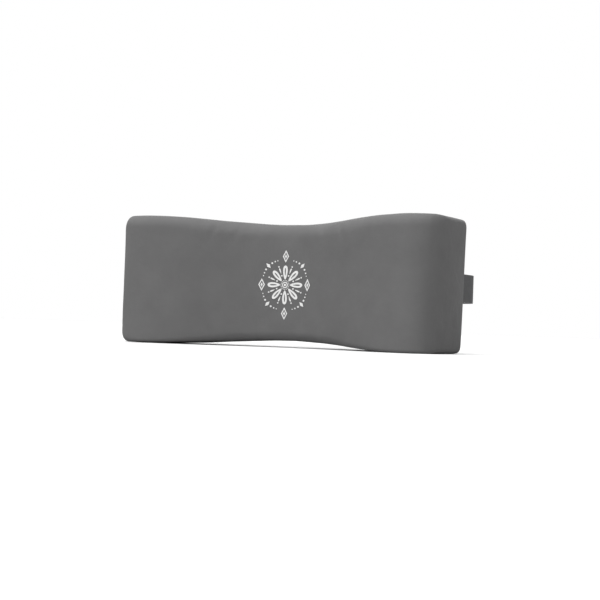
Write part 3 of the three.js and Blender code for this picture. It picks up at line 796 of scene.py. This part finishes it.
def dress(node_name, look, width, segments=2, angle=30):
    """Gives a node of the frame rounded edges and a material."""
    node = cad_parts[node_name]
    node.data.materials.clear()
    node.data.materials.append(look)
    add_bevel(node, width, segments, angle)


for word in ("upper", "lower"):
    dress(f"zip_teeth_{word}", teeth_look, 0.14)
    dress(f"zip_top_stop_{word}", metal_look, 0.3, 3)
dress("zip_bottom_stop", metal_look, 0.35, 3)
dress("zip_slider", metal_look, 0.18)
dress("zip_pull", metal_look, 0.2, 3)
print("zip dressed")

# %% [markdown]
# ## The strap
#
# Each length of strap follows a line made of straights and quarter turns, as it lies round a
# headrest. It comes from under its patch, goes round the side, turns round a bar of the ring and
# runs back on itself. A curve with a bevel would do for a cord, but a strap keeps its flat side to
# what it wraps, so the line is worked out first and a band is laid on it.

# %% Lines that the straps follow
STRAP_HALF, STRAP_THICK = 12.5, 1.2
ON_BACK_Y = 0.9
CORNER_X, BEND_RADIUS = 93.0, 40.6
FRONT_BEND_Y, REAR_BEND_Y = 41.5, 61.5
REAR_Y = 102.1
RING_X, RING_HALF_SPACING = -38.0, 4.0
RING_WIRE, BAR_CHAMFER, FIT_GAP = 1.2, 0.6, 0.3
BAR_REACH = math.hypot(RING_WIRE, RING_WIRE - BAR_CHAMFER)
WRAP_RADIUS = BAR_REACH + FIT_GAP + STRAP_THICK / 2
RETURN_SLOPE, SEWN_RETURN, TAIL_LENGTH = 16.0, 16.0, 100.0
LAYER_STEP = 1.5
STRAP_END_X = 64.0
POINT_SPACING = 4.0


def arc(x, y, radius, start, turn, count):
    angles = [math.radians(start + turn * i / count) for i in range(count + 1)]
    return [(x + radius * math.cos(a), y + radius * math.sin(a)) for a in angles]


def straight(first, last):
    count = max(round(math.dist(first, last) / POINT_SPACING), 1)
    return list(zip(even(first[0], last[0], count), even(first[1], last[1], count)))


def return_run(from_x, to_x, end_x):
    """From the top of the wrap down onto the run below it, and along that."""
    high, low = REAR_Y + 2 * WRAP_RADIUS, REAR_Y + LAYER_STEP
    slope = []
    for t in even(0, 1, 10):
        s = 1 - t
        x = s**3 * from_x + 3 * s * t * (from_x + to_x) / 2 + t**3 * to_x
        slope.append((x, s**3 * high + 3 * s * s * t * high + 3 * s * t * t * low + t**3 * low))
    return slope + straight((to_x, low), (end_x, low))


def strap_line(side):
    """The right strap goes round the ring's right bar, and its tail comes back to the right."""
    bar = side * RING_X + RING_HALF_SPACING
    line = straight((STRAP_END_X, ON_BACK_Y), (CORNER_X, ON_BACK_Y))
    line += arc(CORNER_X, FRONT_BEND_Y, BEND_RADIUS, -90, 90, 20)
    line += straight((CORNER_X + BEND_RADIUS, FRONT_BEND_Y), (CORNER_X + BEND_RADIUS, REAR_BEND_Y))
    line += arc(CORNER_X, REAR_BEND_Y, BEND_RADIUS, 0, 90, 20)
    line += straight((CORNER_X, REAR_Y), (bar, REAR_Y))
    line += arc(bar, REAR_Y + WRAP_RADIUS, WRAP_RADIUS, -90, -180, 12)
    length = TAIL_LENGTH if side > 0 else RETURN_SLOPE + SEWN_RETURN
    line += return_run(bar, bar + RETURN_SLOPE, bar + length)
    clean = [line[0]]
    for point in line[1:]:
        if math.dist(point, clean[-1]) > 0.05:
            clean.append(point)
    return [(side * x, y) for x, y in clean]


for side in (1, -1):
    line = strap_line(side)
    total = sum(math.dist(a, b) for a, b in zip(line, line[1:]))
    print("strap on side", side, "is", round(total), "mm long, with", len(line), "points")

# %% [markdown]
# The webbing is 25 mm wide and woven with rubber, so it is dense and has firm edges. A grid runs
# along the line, with closer columns at its two edges. Solidify gives it its thickness, and a bevel
# rounds the edges as a weaver's selvedge does.

# %% Straps
HALF_ACROSS = [0, 3.2, 6.5, 9.5, 11.2, 11.9, 12.3, STRAP_HALF]
ACROSS = [-z for z in reversed(HALF_ACROSS[1:])] + HALF_ACROSS


def strap(name, side, node):
    line = strap_line(side)
    along = [0.0]
    for a, b in zip(line, line[1:]):
        along.append(along[-1] + math.dist(a, b))
    spots = dict(zip(along, line))
    bm = mapped_grid(along, ACROSS, lambda u, z: (*spots[u], z), uv=lambda u, z: (u, z))
    obj = piece(name, bm, strap_look, [node])
    add_solidify(obj, STRAP_THICK, offset=0.0)
    add_bevel(obj, 0.4, 3, 60)
    return obj


straps = [strap("strap_long", 1, "strap_right"), strap("strap_short", -1, "strap_left")]
print("strap faces:", [len(o.data.polygons) for o in straps])

# %% [markdown]
# A patch is sewn over each strap end. It is a square of the cover's cloth, pressed down onto the
# panel all round and lifted where the strap passes under it.

# %% Patches over the strap ends
PATCH_INNER, PATCH_OUTER = 60.0, 90.0
PATCH_HALF = 16.5
PATCH_LOW, PATCH_HIGH = 1.0, 2.85
PATCH_SEAM = 2.2
PATCH_THICKNESS, PATCH_FOLD_RADIUS = 0.9, 0.7
TUNNEL_HALF, TUNNEL_SLOPE = 14.4, 2.0
PATCH_STEPS = [0, 0.2, 0.5, 0.9, 1.5, 2.4]


def patch_point(x, z, side):
    over_strap = ease((TUNNEL_HALF - abs(z)) / TUNNEL_SLOPE)
    over_strap *= ease((x - PATCH_INNER - PATCH_SEAM) / PATCH_SEAM)
    y = PATCH_LOW + (PATCH_HIGH - PATCH_LOW) * over_strap
    edge = min(PATCH_HALF - abs(z), x - PATCH_INNER, PATCH_OUTER - x)
    y -= round_over(edge, PATCH_FOLD_RADIUS) + groove(edge, PATCH_SEAM, 0.16, 0.35)
    y += 0.06 * soft_noise(x, 0, z, 7, 5.0 * side)
    return side * x, y, z


def crowded(low, high, count):
    """Places from low to high that crowd towards both, where the cloth is folded."""
    start = [low + d for d in PATCH_STEPS]
    end = [high - d for d in reversed(PATCH_STEPS)]
    return start + even(start[-1], end[0], count)[1:-1] + end


def patch(side, word):
    xs = crowded(PATCH_INNER, PATCH_OUTER, 16)
    zs = crowded(-PATCH_HALF, PATCH_HALF, 22)
    bm = mapped_grid(xs, zs, lambda x, z: patch_point(x, z, side))
    corners = [v for v in bm.verts if v.is_boundary and len(v.link_edges) == 2]
    bmesh.ops.delete(bm, geom=corners, context="VERTS")
    face_back(bm)
    obj = piece(f"patch_{word}", bm, patch_look, [f"anchor_patch_{word}"])
    add_solidify(obj, PATCH_THICKNESS)
    add_subsurf(obj)
    return obj


patches = [patch(1, "right"), patch(-1, "left")]
print("patch faces:", [len(o.data.polygons) for o in patches])

# %% [markdown]
# ## Ring and buckle
#
# The ring is round wire, bent to a rounded rectangle and welded. A grid rolled round that line makes
# it in one go, and its ends are merged. The slide buckle keeps its solid from the frame, with its
# edges rounded.

# %% Ring and buckle
RING_Y = REAR_Y + WRAP_RADIUS
RING_HALF_HEIGHT = STRAP_HALF + FIT_GAP + RING_WIRE
RING_CORNER = 2.2


def wire_ring(name, node):
    """A closed wire, swept along a rounded rectangle in X and Z."""
    x_mid, z_mid = RING_HALF_SPACING - RING_CORNER, RING_HALF_HEIGHT - RING_CORNER
    corners = [(x_mid, z_mid), (-x_mid, z_mid), (-x_mid, -z_mid), (x_mid, -z_mid)]
    points = []
    for i, (x, z) in enumerate(corners):
        points += arc(x, z, RING_CORNER, 90 * i, 90, 8)

    def place(i, angle):
        x, z = points[i]
        before, after = points[i - 1], points[(i + 1) % len(points)]
        along = Vector((after[0] - before[0], after[1] - before[1])).normalized()
        a = math.radians(angle)
        reach = RING_WIRE * math.cos(a)
        return RING_X + x + along.y * reach, RING_Y + RING_WIRE * math.sin(a), z - along.x * reach

    bm = mapped_grid([*range(len(points)), 0], even(0, 360, 16), place)
    close_up(bm)
    return piece(name, bm, metal_look, [node])


ring = wire_ring("wire_ring", "strap_ring")
dress("slide_buckle", buckle_look, 0.5, 3, 40)
print("ring faces:", len(ring.data.polygons))

# %% [markdown]
# ## Emblem
#
# A generic ornament in thin white film: a rosette of eight petals with a slit in each, small petals
# and dots between them, and lozenges round it. A painted pattern would do from afar, but film that
# is pressed on has an edge. So loops of edges are drawn flat, in X and Z, and bridged or filled.

# %% Shapes of the emblem


def loop(bm, count, place):
    """A closed loop of edges: a circle whose points are moved to place(angle)."""
    made = bmesh.ops.create_circle(bm, segments=count, radius=1.0)["verts"]
    for vert in made:
        x, z = place(math.atan2(vert.co.y, vert.co.x))
        vert.co = Vector((x, 0, z))
    return list({e for v in made for e in v.link_edges})


def turned(x, z, angle, away=0.0):
    c, s = math.cos(angle), math.sin(angle)
    x += away
    return x * c - z * s, x * s + z * c


def petal(angle, away, length, width, taper=0.25):
    return lambda a: turned(
        length * math.cos(a), width * math.sin(a) * (1 - taper + taper * math.cos(a)), angle, away
    )


def dot(angle, away, radius):
    return petal(angle, away, radius, radius, 0)


def lozenge(x, z, width, height):
    def place(a):
        c, s = math.cos(a), math.sin(a)
        r = 1 / (abs(c) + abs(s))
        return x + width * c * r, z + height * s * r

    return place


def band_between(bm, count, outer, inner):
    edges = loop(bm, count, outer) + loop(bm, count, inner)
    bmesh.ops.bridge_loops(bm, edges=edges)


def filled(bm, count, place):
    bmesh.ops.contextual_create(bm, geom=loop(bm, count, place))


# %% [markdown]
# The film lies on the swollen cover, which isn't flat. So each point is sent along Y until it meets
# the cover, and the film gets its thickness after that.

# %% Lay film on the cover's front
FILM_THICKNESS, FILM_BEVEL, FILM_SUNK = 0.32, 0.09, 0.04
EMBLEM_Z = -2.5
bpy.context.view_layer.update()
cover_tree = BVHTree.FromObject(cover, bpy.context.evaluated_depsgraph_get())


def lay_on_front(bm):
    """Moves each point along Y onto the cover's front, and turns the faces outwards."""
    for vert in bm.verts:
        start = Vector((vert.co.x * MM, -0.2, (vert.co.z + EMBLEM_Z) * MM))
        hit = cover_tree.ray_cast(start, Vector((0, 1, 0)))[0]
        vert.co = hit + Vector((0, FILM_SUNK * MM, 0))
    bmesh.ops.recalc_face_normals(bm, faces=bm.faces)
    for face in bm.faces:
        if face.normal.y > 0:
            face.normal_flip()


def emblem_piece(name, draw, nodes):
    bm = bmesh.new()
    draw(bm)
    bmesh.ops.triangulate(bm, faces=[f for f in bm.faces if len(f.verts) > 4])
    lay_on_front(bm)
    obj = piece(name, bm, film_look, nodes, smooth=False)
    add_solidify(obj, FILM_THICKNESS, offset=1.0)
    add_bevel(obj, FILM_BEVEL, 2, 50)
    return obj


# %% [markdown]
# Each petal or dot is one loop, named by how far out it stands and how large it is. They repeat by
# a turn, so a few numbers draw the whole ornament, and the four large lozenges are pieces of their
# own.

# %% Draw the emblem
PETALS = 8
PETAL, SLIT, SMALL_PETAL = (10.9, 6.1, 2.9), (11.3, 3.5, 0.75), (13.0, 2.6, 0.95, 0.4)
DOTS, BEAD, HUB = ((8.6, 0.75), (17.0, 0.7)), (3.9, 0.42), (2.8, 1.9, 1.1)
LOZENGE_X, LOZENGE_Z = 22.4, 24.9
LOZENGES = {
    "top": (0, LOZENGE_Z),
    "bottom": (0, -LOZENGE_Z),
    "left": (-LOZENGE_X, 0),
    "right": (LOZENGE_X, 0),
}
CORNER_AWAY = 23.6
CORNER_DOTS = ((0.17, 23.1, 0.85), (0.31, 22.7, 0.65), (0.43, 22.4, 0.5))  # turn, distance, radius


def draw_rosette(bm):
    step = 2 * math.pi / PETALS
    for i in range(PETALS):
        angle = step * i + math.pi / 2
        band_between(bm, 36, petal(angle, *PETAL), petal(angle, *SLIT))
        filled(bm, 20, petal(angle + step / 2, *SMALL_PETAL))
        for away, radius in DOTS:
            filled(bm, 14, dot(angle + step / 2, away, radius))
    for i in range(2 * PETALS):
        filled(bm, 12, dot(step / 2 * i, *BEAD))
    band_between(bm, 24, dot(0, 0, HUB[0]), dot(0, 0, HUB[1]))
    filled(bm, 20, dot(0, 0, HUB[2]))


def draw_lozenge(x, z):
    def draw(bm):
        band_between(bm, 32, lozenge(x, z, 3.0, 5.5), lozenge(x, z, 1.9, 3.6))
        filled(bm, 16, lozenge(x, z, 1.0, 1.9))

    return draw


def draw_corners(bm):
    """A small lozenge between dots in each corner between the four large ones."""
    diamond = lozenge(0, 0, 2.9, 1.5)
    for i in range(4):
        angle = math.pi / 4 + math.pi / 2 * i
        filled(bm, 24, lambda a: turned(*diamond(a), angle, CORNER_AWAY))
        for lean, away, size in CORNER_DOTS:
            filled(bm, 14, dot(angle + lean, away, size))
            filled(bm, 14, dot(angle - lean, away, size))


emblem = [emblem_piece("film_rosette", draw_rosette, ["emblem_rosette"])]
for word, (x, z) in LOZENGES.items():
    emblem.append(emblem_piece(f"film_lozenge_{word}", draw_lozenge(x, z), [f"emblem_lozenge_{word}"]))
emblem.append(emblem_piece("film_corners", draw_corners, []))
print("emblem pieces:", [o.name for o in emblem])

# %% [markdown]
# ## Stitches
#
# Each stitch is a short, slightly flattened bead of thread. Rows of them follow the edges of the
# panels, both sides of the zip and the patches. A bump could draw them, but a small sphere with few
# faces also shows in the outline.

# %% One row of stitches
STITCH_LENGTH, STITCH_PITCH, STITCH_HALF = 2.9, 3.9, 0.27


def along_path(points):
    """Middles and directions of stitches along a line of points."""
    marks, left = [], STITCH_PITCH / 2
    for a, b in zip(points, points[1:]):
        span = (b - a).length
        direction = (b - a).normalized() if span else None
        while span and left <= span:
            marks.append((a + direction * left, direction))
            left += STITCH_PITCH
        left -= span
    return marks


def stitch_row(bm, points):
    """points are in millimetres, on the surface, which looks along +Y."""
    for middle, direction in along_path([Vector(p) for p in points]):
        across = direction.cross(Vector((0, 1, 0))).normalized()
        up = across.cross(direction)
        axes = Matrix((direction * STITCH_LENGTH / 2, across * STITCH_HALF, up * STITCH_HALF))
        place = Matrix.Translation(middle * MM) @ (axes.transposed() * MM).to_4x4()
        bmesh.ops.create_uvsphere(bm, u_segments=8, v_segments=6, radius=1.0, matrix=place)


def stitches(name, rows):
    bm = bmesh.new()
    for row in rows:
        stitch_row(bm, row)
    lean_end(bm)
    return piece(name, bm, thread_look)


# %% [markdown]
# A row runs along the outer edge of each panel, along the zip and up both ends. It takes its points
# from the panel's own function, so every stitch lies in its groove.

# %% Stitches of the panels


def on_panel(x, inset, side, from_far=True):
    near, far = panel_edges(x, side)
    height = abs(far - near)
    return panel_point(x, ("near", clamp(height - inset if from_far else inset, 0, height)), side)


ROW_END = PANEL_END - SEAM_IN
row_x = even(-ROW_END, ROW_END, 96)
zip_x = even(-WINDOW_END + 1, WINDOW_END - 1, 80)
rows = []
for side in (1, -1):
    rows.append([on_panel(x, SEAM_IN, side) for x in row_x])
    rows.append([on_panel(x, ZIP_SEAM_IN, side, from_far=False) for x in zip_x])
    near, far = panel_edges(ROW_END, side)
    for x in (ROW_END, -ROW_END):
        zs = even(near + side * 2, far - side * SEAM_IN, 12)
        rows.append([panel_point(x, ("near", abs(z - near)), side) for z in zs])
panel_stitches = stitches("panel_stitches", rows)
print("panel stitch faces:", len(panel_stitches.data.polygons))

# %% [markdown]
# A patch has a square of stitches with a cross in it, which is the usual way to hold a strap that
# is pulled. Where the strap is sewn to itself, and at the end of its tail, there is a plain box.

# %% Stitches of the patches and the strap
CROSS_X, CROSS_Z = 2, 3  # how far inside the square the cross ends
SEWN_BOXES = ((-62.5, -72.5), (57.0, 64.0))
SEWN_HALF = 10.5
TAIL_TOP_Y = REAR_Y + LAYER_STEP + STRAP_THICK / 2 + 0.02


def sides_of_box(x0, x1, half):
    corners = [(x0, -half), (x1, -half), (x1, half), (x0, half), (x0, -half)]
    return list(zip(corners, corners[1:]))


patch_x = PATCH_INNER + PATCH_SEAM, PATCH_OUTER - PATCH_SEAM
patch_z = PATCH_HALF - PATCH_SEAM
cross_x = patch_x[0] + CROSS_X, patch_x[1] - CROSS_X
cross_z = patch_z - CROSS_Z
lines = sides_of_box(*patch_x, patch_z)
lines += [((cross_x[0], -z), (cross_x[1], z)) for z in (cross_z, -cross_z)]
rows = []
for side in (1, -1):
    for a, b in lines:
        line = [(a[0] + (b[0] - a[0]) * t, a[1] + (b[1] - a[1]) * t) for t in even(0, 1, 20)]
        rows.append([patch_point(x, z, side) for x, z in line])
patch_stitches = stitches("patch_stitches", rows)

rows = []
for x0, x1 in SEWN_BOXES:
    for a, b in sides_of_box(x0, x1, SEWN_HALF):
        rows.append([(a[0], TAIL_TOP_Y, a[1]), (b[0], TAIL_TOP_Y, b[1])])
strap_stitches = stitches("strap_stitches", rows)
print("patch and strap stitch faces:", [len(o.data.polygons) for o in (patch_stitches, strap_stitches)])

# %% [markdown]
# ## Camera
#
# The camera stands to the pillow's right, a little below its middle. Its place comes from fitting
# the form's outline to the picture's: a turn, a small tilt and a small roll about the view's axis.

# %% Camera
YAW, TILT, ROLL = (math.radians(a) for a in (26.985, -1.068, 1.903))
DISTANCE, ASIDE, UPWARD = 1242.15, -13.674, 15.62
AIM = Vector((0, -40, 0))
FOCAL_LENGTH, SENSOR_WIDTH = 85.681, 36

back = Vector((math.sin(YAW) * math.cos(TILT), -math.cos(YAW) * math.cos(TILT), math.sin(TILT)))
level = Vector((math.cos(YAW), math.sin(YAW), 0))
upright = back.cross(level)
right = math.cos(ROLL) * level + math.sin(ROLL) * upright
above = -math.sin(ROLL) * level + math.cos(ROLL) * upright
eye = AIM + DISTANCE * back - ASIDE * right - UPWARD * above

camera_data = bpy.data.cameras.new("camera")
camera_data.sensor_width = SENSOR_WIDTH
camera_data.lens = FOCAL_LENGTH
camera_data.clip_start, camera_data.clip_end = 0.01, 50
camera = bpy.data.objects.new("camera", camera_data)
turn = Matrix((right, above, back)).transposed()
camera.matrix_world = Matrix.Translation(eye * MM) @ turn.to_4x4()
bpy.context.scene.collection.objects.link(camera)
bpy.context.scene.camera = camera
print("camera at", [round(v, 4) for v in camera.location], "lens", FOCAL_LENGTH)

# %% [markdown]
# ## Floor and light
#
# The floor is a wide pale plane under the lobes. The world is white where the camera, a reflection
# or a ray through glass meets it, and dimmer as a light, so the backdrop needs no strong lamps.

# %% Floor and world
FLOOR_AS_LIGHT, FLOOR_SEEN = (0.40, 0.40, 0.40), (0.85, 0.85, 0.85)
WORLD_AS_LIGHT, WORLD_SEEN = 0.24, 1.0
FLOOR_SIZE = 6.0


def seen_directly(look):
    """1 where the camera, a reflection or a ray through glass looks, and 0 for soft light."""
    path = look.add("LightPath").outputs
    seen = look.calc("MAXIMUM", path["Is Camera Ray"], path["Is Glossy Ray"])
    return look.calc("MAXIMUM", seen, path["Is Transmission Ray"])


def floor_material():
    """Pale to the eye. It throws less light back up, as a floor further below would."""
    material, look = new_look("floor", FLOOR_SEEN, 0.9, specular=0.1)
    look.drive("Base Color", look.mixed(seen_directly(look), FLOOR_AS_LIGHT, FLOOR_SEEN))
    return material


floor_bm = bmesh.new()
bmesh.ops.create_grid(floor_bm, x_segments=8, y_segments=8, size=FLOOR_SIZE)
floor = new_object("floor", floor_bm, floor_material())
floor.location.z = cad_low[2]
floor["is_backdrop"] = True

world = bpy.data.worlds.new("studio")
bpy.context.scene.world = world
world.use_nodes = True
ambient = world.node_tree.nodes["Background"]
ambient.inputs["Color"].default_value = (1, 1, 1, 1)
sky = Nodes(world.node_tree, ambient)
sky.drive("Strength", sky.ranged(seen_directly(sky), WORLD_AS_LIGHT, WORLD_SEEN))
print("floor at z =", round(floor.location.z / MM, 1), "mm")

# %% [markdown]
# Five suns light the pillow: a strong one from above, one from the front, and weak ones from both
# sides and from behind. Wide suns shade as softly as a studio's panels do, and give the same light
# everywhere, so the pillow looks right from every side.

# %% Lamps
SUN_WIDTH = 60  # degrees
SUNS = {
    "overhead": (3.0, (0.05, 0.12, -1)),
    "front": (1.41, (0.18, 1.0, -0.3)),
    "right side": (0.47, (-0.8, 0.62, -0.15)),
    "left side": (0.22, (0.95, 0.25, -0.1)),
    "behind": (0.6, (0.3, -1.0, -0.4)),
}
for name, (strength, toward) in SUNS.items():
    lamp = bpy.data.lights.new(name, "SUN")
    lamp.energy = strength
    lamp.angle = math.radians(SUN_WIDTH)
    sun = bpy.data.objects.new(name, lamp)
    sun.rotation_euler = Vector(toward).to_track_quat("-Z", "Y").to_euler()
    bpy.context.scene.collection.objects.link(sun)
bpy.context.scene.view_settings.view_transform = "Standard"
print("suns:", ", ".join(SUNS))

# %% [markdown]
# ## Print the sizes and finish
#
# The two boxes are printed: the solids' box at the start, and the visual model's box here.

# %% Sizes and finish
bpy.context.view_layer.update()
low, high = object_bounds()
print("visual box in mm:", [round(v / MM, 1) for v in (*low, *high)])
